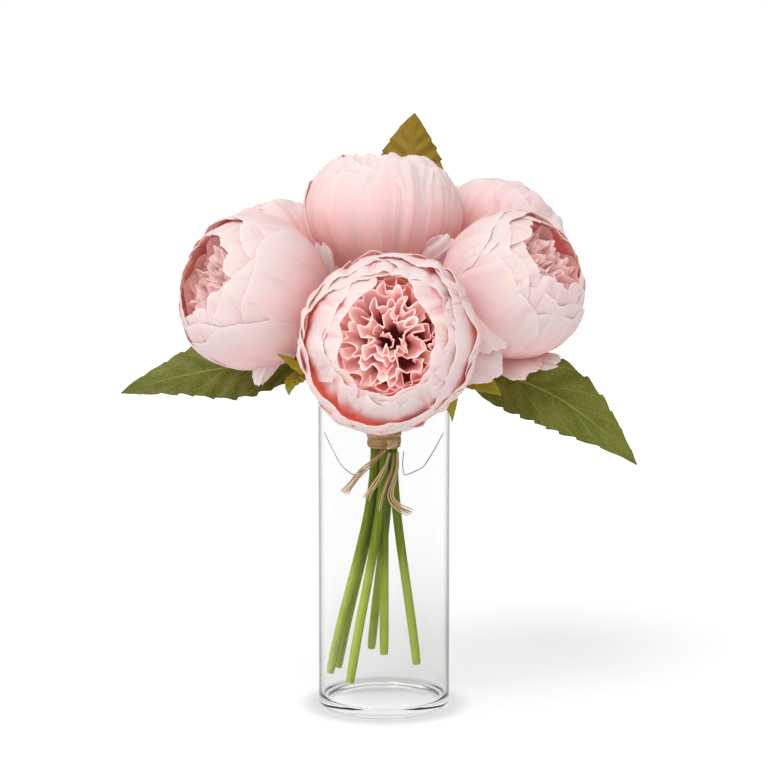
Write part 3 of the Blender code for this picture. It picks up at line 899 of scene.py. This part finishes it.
def leafLook():
    look, tree, shader = startLook("leafFabric")
    along, across, inside, tone = (mark(tree, k) for k in ("along", "across", "inside", "tone"))
    where = objectSpot(tree)
    side = maths(tree, "ABSOLUTE", across)
    mottle = rampValue(tree, noise(tree, where, 55.0, 4.0), 0.42, 0.72, 0.0, 0.45)
    # a painted highlight: a soft band of light runs beside the midrib
    paintedHighlight = times(tree, rampValue(tree, side, 0.05, 0.40), rampValue(tree, side, 0.85, 0.40))
    stretch = times(tree, rampValue(tree, along, 0.05, 0.35), rampValue(tree, along, 0.75, 0.45))
    # side veins sweep forward from the midrib, with the fine net between
    wander = times(tree, noise(tree, where, 60.0, 2.0), 0.5)
    sweep = times(tree, maths(tree, "POWER", side, 0.9), 1.6)
    run = maths(tree, "SUBTRACT", times(tree, along, 6.0), sweep)
    gap = maths(tree, "PINGPONG", maths(tree, "ADD", run, wander), 0.5)
    vein = times(tree, rampValue(tree, gap, 0.045, 0.0), 0.55)
    lines = maths(tree, "MAXIMUM", vein, rampValue(tree, side, 0.035, 0.0))
    lines = times(tree, lines, rampValue(tree, along, 1.0, 0.80, 0.4, 1.0))
    net = rampValue(tree, cellEdges(tree, where, 330.0), 0.10, 0.0, 0.0, 0.26)
    upper = layered(tree, ramp(tree, tone, (0.0, 0.3, 0.6, 1.0), leafGreens["shades"]), leafGreens, (
        (mottle, "light"),
        (times(tree, times(tree, paintedHighlight, stretch), 0.30), "light"),
        (maths(tree, "MAXIMUM", times(tree, lines, 0.95), net), "vein"),
    ))
    lower = blendColour(tree, times(tree, lines, 0.5), leafGreens["under"], leafGreens["underVein"])
    # the cut edge is a shade darker
    edge = times(tree, rampValue(tree, side, 0.95, 1.0), 0.5)
    colour = blendColour(tree, edge, blendColour(tree, inside, upper, lower), leafGreens["edge"])
    relief = bump(tree, maths(tree, "ADD", lines, times(tree, net, 0.8)), 0.5, 0.0006)
    fill(tree, shader, {"Base Color": colour, "Roughness": 0.46, "Specular IOR Level": 0.22,
                        "Normal": weave(tree, relief, 2200.0)})
    shineThrough(tree, shader, colour, 0.14)
    return look


def makeLeaf(node, look):
    s, leaf = leafShape, leaves[node]
    rng = np.random.default_rng(leaf["seed"])
    u, v = grid(s["rows"], s["columns"])
    middle = bezierThrough(metres(leaf["line"]), s["rows"])
    ahead = unit(np.gradient(middle, axis=0))
    sideways = unit(np.cross(ahead, leaf["face"]))
    up = np.cross(sideways, ahead)
    blade = np.clip((u - leaf["petiole"]) / (1 - leaf["petiole"]), 0, 1)
    half = leaf["half"] * np.sin(math.pi * blade ** 0.8) ** 0.9
    teeth = s["teeth"] * (0.6 if leaf["half"] < 0.015 else 1.0)
    points = np.zeros((s["rows"], s["columns"], 3))
    for sign in (-1, 1):
        saw = (blade * teeth + 0.35 * np.sin(blade * 9 + sign) + rng.uniform(0, 1)) % 1.0
        jag = 1 - s["toothDepth"] * saw * smooth(0.12, 0.3, blade) * (1 - 0.6 * smooth(0.9, 1, blade))
        width = np.maximum(half * jag, s["stalk"] * (1 - smooth(0.9, 1.0, blade) * 0.7))
        picked = v[0] < 0 if sign < 0 else v[0] >= 0
        at = v[:, picked]
        out = np.abs(at)
        broad = np.minimum(1, width / 0.012)
        waves = np.sin(2 * math.pi * (blade * 9 - 1.35 * out ** 0.8))
        rise = width * (0.16 * out ** 1.2 - 0.10 * out ** 3) + 0.0007 * waves * broad * smooth(0.05, 0.3, out)
        rise = rise + 0.0016 * np.sin(blade * 11 + sign * 1.3 + leaf["seed"]) * out ** 2.5 * broad
        flat = middle[:, None] + sideways[:, None] * (width * at)[..., None]
        points[:, picked] = flat + up[:, None] * rise[..., None]
    heart = middle.mean(0) - np.array(leaf["face"]) * 10
    sheet = dict(points=points, heart=heart, along=blade, across=v, tone=leaf["tone"])
    finishPiece(clothPiece(pieceName(node), [sheet], s["thickness"]), look, "leaf_green", node)


# raffia: wound band, knot, hanging ends
raffiaShape = {
    "inner": 0.0088,      # just outside the stems
    "low": 0.160,
    "high": 0.172,
    "strandWidth": 0.0014,
    "turns": 26,
    "loops": 9,
    "thickness": 0.00035,
    "endThickness": 0.00028,
    "parts": (0.0, -0.55, 0.50, -0.25, 0.30, 0.75),      # where an end's strands lie side by side
}
raffiaEnds = {
    "raffia_tail_1": dict(width=0.0026, line=[(1, -11.2, 159), (-5, -14.6, 154.5), (-12.6, -17, 147.5),
                                              (-18.6, -18.4, 140.5), (-23.8, -19, 134.5)]),
    "raffia_tail_2": dict(width=0.0024, line=[(3.6, -12, 157.8), (0.6, -16, 149.5), (-4, -18.2, 141.2),
                                              (-7.8, -19, 136), (-10.4, -19.6, 131)]),
    "raffia_tail_3": dict(width=0.0016, line=[(6, -12.2, 157.6), (4.6, -16.6, 149.5), (1.6, -18.6, 140.5),
                                              (-1.4, -19.6, 132), (-3, -20, 123.4)]),
    "raffia_tail_4": dict(width=0.0024, line=[(8.4, -11.6, 158.2), (8, -15.6, 150.5), (5.8, -17.6, 142),
                                              (4, -19, 132.5), (8.8, -19.2, 126.6), (16.6, -18.4, 122.8)]),
    "raffia_fibre_left": dict(
        width=0.0006,
        line=[(-1.2, -11.8, 160.5), (-9, -12, 150), (-18, -11.5, 143.8),
              (-25.8, -9, 149.8), (-31.2, -6, 159.8), (-36.2, -3, 169.3)]),
    "raffia_fibre_right": dict(
        width=0.0006,
        line=[(11.8, -9.8, 158.5), (11, -11.2, 150.5), (12, -12.4, 143.8),
              (23.6, -11.5, 149), (29.8, -9, 159), (35.5, -6, 169.3)]),
}
straw = {
    "dark": (0.10, 0.034, 0.010),
    "middle": (0.50, 0.25, 0.095),
    "light": (0.88, 0.64, 0.34),
    "pale": (0.96, 0.82, 0.54),
}


def raffiaLook():
    look, tree, shader = startLook("raffiaStraw")
    fibres = noise(tree, clothSpot(tree, 4.0, 2.0, 30.0), 1.0, 5.0, 0.65)
    tints = list(straw.values())
    brown, fair = (ramp(tree, fibres, (0.30, 0.48, 0.70), three) for three in (tints[:3], tints[1:]))
    colour = blendColour(tree, rampValue(tree, mark(tree, "tone"), 0.25, 0.75), brown, fair)
    side = rampValue(tree, maths(tree, "ABSOLUTE", mark(tree, "across")), 0.72, 1.0, 0.0, 0.45)
    fill(tree, shader, {"Base Color": blendColour(tree, side, colour, straw["middle"]), "Roughness": 0.6,
                        "Specular IOR Level": 0.25, "Normal": bump(tree, fibres, 0.8, 0.0006)})
    return look


def ribbonSheet(route, width, facing, tone, rng, twist=0.0, curl=0.12, thin=0.55):
    # a flat strand along a route, its flat side towards facing
    u, v = grid(len(route), 7)
    ahead = unit(np.gradient(route, axis=0))
    face = unit(facing - ahead * np.sum(facing * ahead, axis=1, keepdims=True))
    side, turn = np.cross(ahead, face), twist * u
    side, face = side * np.cos(turn) + face * np.sin(turn), face * np.cos(turn) - side * np.sin(turn)
    taper = (1 - thin * smooth(0.9, 1.0, u)) * (1 + 0.10 * np.sin(u * 9 + rng.uniform(0, 6)))
    reach = 0.5 * width * np.minimum(taper, 1.0) * v
    bow = curl * width * (v ** 2 - 0.3)
    points = route[:, None] + side[:, None] * reach[..., None] + face[:, None] * bow[..., None]
    heart = route.mean(0) - facing.mean(0) * 10
    return dict(points=points, heart=heart, along=u * len(route) / 20, across=v, tone=tone)


def makeWrap(look, rng):
    s, draw = raffiaShape, rng.uniform
    wrap = []
    for n in range(s["turns"]):
        phi = np.linspace(0, 2 * math.pi * draw(0.55, 1.1), 70) + draw(0, 6)
        middle = (s["low"] + 0.0012
                  + (s["high"] - s["low"] - 0.0024) * ((n * 7) % s["turns"] + 0.5) / s["turns"])
        z = middle + draw(-0.0022, 0.0022) * np.sin(phi * 0.5 + draw(0, 6)) + 0.0003 * np.sin(3 * phi)
        z = np.clip(z, s["low"] + 0.0008, s["high"] - 0.0008)
        r = s["inner"] + 0.0003 + 0.0013 * n / s["turns"] + 0.0002 * np.sin(2 * phi + draw(0, 6))
        width = s["strandWidth"] * draw(0.6, 1.5)
        wrap.append(ribbonSheet(spun(r, phi, z), width, spun(1.0, phi, 0.0), draw(0, 0.62), rng, curl=-0.30))
    finishPiece(clothPiece("raffiaWrap", wrap, s["thickness"]), look, "raffia_tan", "raffia_wrap")


def makeKnot(look, rng):
    s, draw = raffiaShape, rng.uniform
    middle = np.mean(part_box("raffia_knot"), axis=0)
    out = unit(np.array([middle[0], middle[1], 0.0]))
    aside, up = np.array([-out[1], out[0], 0.0]), np.array([0, 0, 1.0])
    t = np.linspace(0, 2 * math.pi, 44)
    knot = []
    for n in range(s["loops"]):
        tilt = draw(0.2, 1.2) if n % 3 else draw(-1.0, -0.2)
        big = draw(0.0024, 0.0037)
        loop = np.outer(np.cos(t), aside * math.cos(tilt) + up * math.sin(tilt)) * big
        loop = (loop + np.outer(np.sin(t), out) * draw(0.0010, 0.0017)
                + np.outer(np.sin(t * 2 + n), up) * 0.0006)
        route = middle + loop + draw(-0.0005, 0.0005, 3)
        knot.append(ribbonSheet(route, draw(0.0012, 0.0022), unit(loop + 1e-6),
                                draw(0.2, 0.9), rng, curl=-0.25))
    finishPiece(clothPiece("raffiaKnot", knot, s["thickness"]), look, "raffia_tan", "raffia_knot")


def tailStrands(route, width, rng):
    # a hanging end is a few strands that part towards the tip
    facing = np.repeat(np.array([[0.12, -1.0, 0.25]]), len(route), 0)
    side, out = unit(np.cross(unit(np.gradient(route, axis=0)), facing)), unit(facing)
    u = np.linspace(0, 1, len(route))[:, None]
    strands = []
    for k, part in enumerate(raffiaShape["parts"][:6 if width > 0.002 else 3]):
        line = route + side * width * part * (0.40 + 1.05 * u ** 1.5) + out * (0.0003 * k - 0.0004)
        if k:
            line = line + side * 0.18 * width * np.sin(rng.uniform(4, 9) * u + 2 * k)
            line = line + out * 0.0007 * u * np.sin(7 * u + k)
            line = line[: len(line) - int(rng.integers(0, 2))]
        broad = width * (rng.uniform(0.16, 0.30) if k else 0.38)
        strands.append(ribbonSheet(line, broad, facing[: len(line)], rng.uniform(0.35, 1.0), rng,
                                   twist=rng.uniform(-0.8, 0.8), thin=0.5))
    return strands


def makeEnds(look, rng):
    for node, end in raffiaEnds.items():
        name, width, line = pieceName(node), end["width"], metres(end["line"])
        if "tail" in node:
            route = curveThrough(line, 36)
            piece = clothPiece(name, tailStrands(route, width, rng), raffiaShape["endThickness"])
        else:
            # a stiff single fibre, bent rather than curved
            runs = [np.linspace(a, b, 9)[:-1] for a, b in zip(line, line[1:])]
            route = np.vstack(runs + [line[-1:]])
            for _ in range(3):
                route[1:-1] = 0.5 * route[1:-1] + 0.25 * (route[:-2] + route[2:])
            piece = tubeMesh(name, route, np.full(len(route), width / 2), 8, rng.uniform(0.1, 0.4))
        finishPiece(piece, look, "raffia_tan", node)


# glass vase
vaseShape = {
    "radius": 0.040,
    "height": 0.200,
    "wall": 0.0025,
    "floor": 0.0050,
    "heel": 0.0026,
    "fillet": 0.003,
    "rise": 0.0008,      # the underside inside its narrow foot ring
    "segments": 144,
}
glassClear = {
    "face": (0.908, 0.911, 0.910),
    "edge": (0.030, 0.034, 0.032),       # painted dark edge where the wall is seen edge-on, standing in for a darker room reflected there
    "baseShine": (0.97, 0.98, 0.975),
    "wallShine": (0.12, 0.12, 0.12),
    "soakColour": (0.35, 0.45, 0.40),
    "soakDensity": 1.2,
}


def glassLook():
    look, tree, shader = startLook("clearGlass")
    g, height = glassClear, heightOf(tree)
    slant = tree.nodes.new("ShaderNodeLayerWeight")
    slant.inputs["Blend"].default_value = 0.5
    # a painted dark reflection: only the outer wall darkens where it turns away
    outside = times(tree, rampValue(tree, reachOf(tree), 0.0388, 0.0394),
                    rampValue(tree, height, 0.003, 0.010))
    turned = times(tree, outside, rampValue(tree, slant.outputs["Facing"], 0.55, 0.80))
    # the clear base reflects fully from within, and the walls only faintly
    wall = rampValue(tree, height, 0.0054, 0.0080)
    fill(tree, shader, {
        "Base Color": blendColour(tree, turned, g["face"], g["edge"]),
        "Roughness": 0.0,
        "IOR": 1.47,
        "Transmission Weight": 1.0,
        "Specular Tint": blendColour(tree, wall, g["baseShine"], g["wallShine"]),
        "Normal": bump(tree, noise(tree, objectSpot(tree), 28.0, 2.0), 0.05, 0.0005),
    })
    soak = tree.nodes.new("ShaderNodeVolumeAbsorption")
    fill(tree, soak, {"Color": g["soakColour"], "Density": g["soakDensity"]})
    tree.links.new(soak.outputs[0], tree.nodes["Material Output"].inputs["Volume"])
    return look


def vaseArc(x, z, r, angles):
    return [(x + r * math.cos(math.radians(t)), z + r * math.sin(math.radians(t))) for t in angles]


def makeVase(look):
    s = vaseShape
    r, w, f, h, heel, rise, n = (s[k] for k in ("radius", "wall", "floor", "height", "heel",
                                                "rise", "segments"))
    rim, bend, foot = w / 2, s["fillet"], r - heel
    # the outline from the middle of the underside, round the foot and rim, to the floor inside
    line = [(r * 0.5, rise), (foot - 0.0064, rise), (foot - 0.0060, rise * 0.97)]
    line += [(foot - 0.0030, rise * 0.10), (foot - 0.0012, 0.0), (foot, 0.0)]
    line += vaseArc(foot, heel, heel, range(-75, 1, 15))
    line += [(r, z) for z in np.linspace(heel + 0.004, h - w, 26)]
    line += vaseArc(r - rim, h - rim, rim, range(15, 166, 15))
    line += [(r - w, z) for z in np.linspace(h - w, f + 0.004, 26)]
    line += vaseArc(r - w - bend, f + bend, bend, [-90 / 7 * k for k in range(1, 8)])
    line += [(r - w - 0.0034, f), (r - w - 0.0044, f - 0.0001),
             (r * 0.55, f - 0.0004), (r * 0.25, f - 0.0006)]
    turn = np.linspace(0, 2 * math.pi, n, endpoint=False)
    verts = np.vstack([[(0, 0, rise)], *(spun(x, turn, z) for x, z in line), [(0, 0, f - 0.0006)]])
    starts = range(1, 1 + n * len(line), n)
    last = starts[-1]
    faces = [(0, 1 + (k + 1) % n, 1 + k) for k in range(n)] + ringFaces(starts, n)
    faces += [(last + k, last + (k + 1) % n, last + n) for k in range(n)]
    piece = meshFrom("glassVase", verts, faces, {}, 60)
    piece.visible_shadow = False      # the light falls through to the stems and the floor
    finishPiece(piece, look, "clear_glass", "vase")


# floor and light
studio = {
    "floorWhite": 0.89,
    "paintedFootShadow": 0.76,        # painted contact shadow on the floor close round the thick foot
    "sky": 0.88,
    "seenSky": 1.03,
    "keyStrength": 1.95,
    "keyAngle": 50,
    "keyFrom": (-0.62, -0.85, 1.15),
    "bounces": {"diffuse_bounces": 10, "transmission_bounces": 24, "max_bounces": 32},
}


def makeFloor():
    mesh = bpy.data.meshes.new("floor")
    mesh.from_pydata([(-30, -30, 0), (30, -30, 0), (30, 30, 0), (-30, 30, 0)], [], [(0, 1, 2, 3)])
    floor = bpy.data.objects.new("floor", mesh)
    floor.location.z = -0.0002
    scene.collection.objects.link(floor)
    look, tree, shader = startLook("paleFloor")
    pale = (studio["floorWhite"],) * 3
    # a painted shadow ring round the vase foot, since the glass casts none
    spread = reachOf(tree)
    clear = maths(tree, "MAXIMUM", rampValue(tree, spread, 0.0405, 0.057),
                  rampValue(tree, spread, 0.0400, 0.035))
    paintedShadowTint = tuple(studio["paintedFootShadow"] * c for c in pale)
    fill(tree, shader, {"Base Color": blendColour(tree, clear, paintedShadowTint, pale), "Roughness": 0.9,
                        "Specular IOR Level": 0.1})
    floor.data.materials.append(look)


def makeLight():
    world = bpy.data.worlds.new("studioSky")
    scene.world = world
    world.use_nodes = True
    tree = world.node_tree
    lit, seen = tree.nodes["Background"], tree.nodes.new("ShaderNodeBackground")
    fill(tree, lit, {"Color": white, "Strength": studio["sky"]})
    fill(tree, seen, {"Color": white, "Strength": studio["seenSky"]})
    path = tree.nodes.new("ShaderNodeLightPath").outputs
    pick = tree.nodes.new("ShaderNodeMixShader")
    straight = maths(tree, "MAXIMUM", path["Is Camera Ray"], path["Is Singular Ray"])
    for place, value in enumerate((straight, lit.outputs[0], seen.outputs[0])):
        tree.links.new(value, pick.inputs[place])
    tree.links.new(pick.outputs[0], tree.nodes["World Output"].inputs["Surface"])

    key = bpy.data.lights.new("key", "SUN")
    key.energy = studio["keyStrength"]
    key.angle = math.radians(studio["keyAngle"])
    keyObject = bpy.data.objects.new("key", key)
    scene.collection.objects.link(keyObject)
    keyObject.rotation_mode = "QUATERNION"
    keyObject.rotation_quaternion = Vector(studio["keyFrom"]).to_track_quat("Z", "Y")
    scene.view_settings.view_transform = "Standard"
    # light bounces deep into the folds and through the glass
    for name, count in studio["bounces"].items():
        setattr(scene.cycles, name, count)


raffiaRng = np.random.default_rng(5)
raffiaStraw = raffiaLook()
for makeRaffiaPiece in (makeWrap, makeKnot, makeEnds):
    makeRaffiaPiece(raffiaStraw, raffiaRng)
print("raffia tied")
makeVase(glassLook())
print("vase made")
stemPlastic = stemLook()
leafFabric = leafLook()
petalCloth = petalLook()
ruffleCloth = ruffleLook()
for headNode in heads:
    headName = pieceName(headNode)
    makeStem(headName, headNode, stemPlastic)
    makeCalyx(headName, headNode, leafFabric)
    makeOuterPetals(headName, headNode, petalCloth)
    makeInnerCups(headName, headNode, petalCloth)
    makeRuffles(headName, headNode, ruffleCloth)
    print("head made:", headName)
makeLoosePetals(petalCloth)
print("loose petals made")
for leafNode in leaves:
    makeLeaf(leafNode, leafFabric)
print("leaves made")
makeFloor()
makeLight()
print("studio lit")
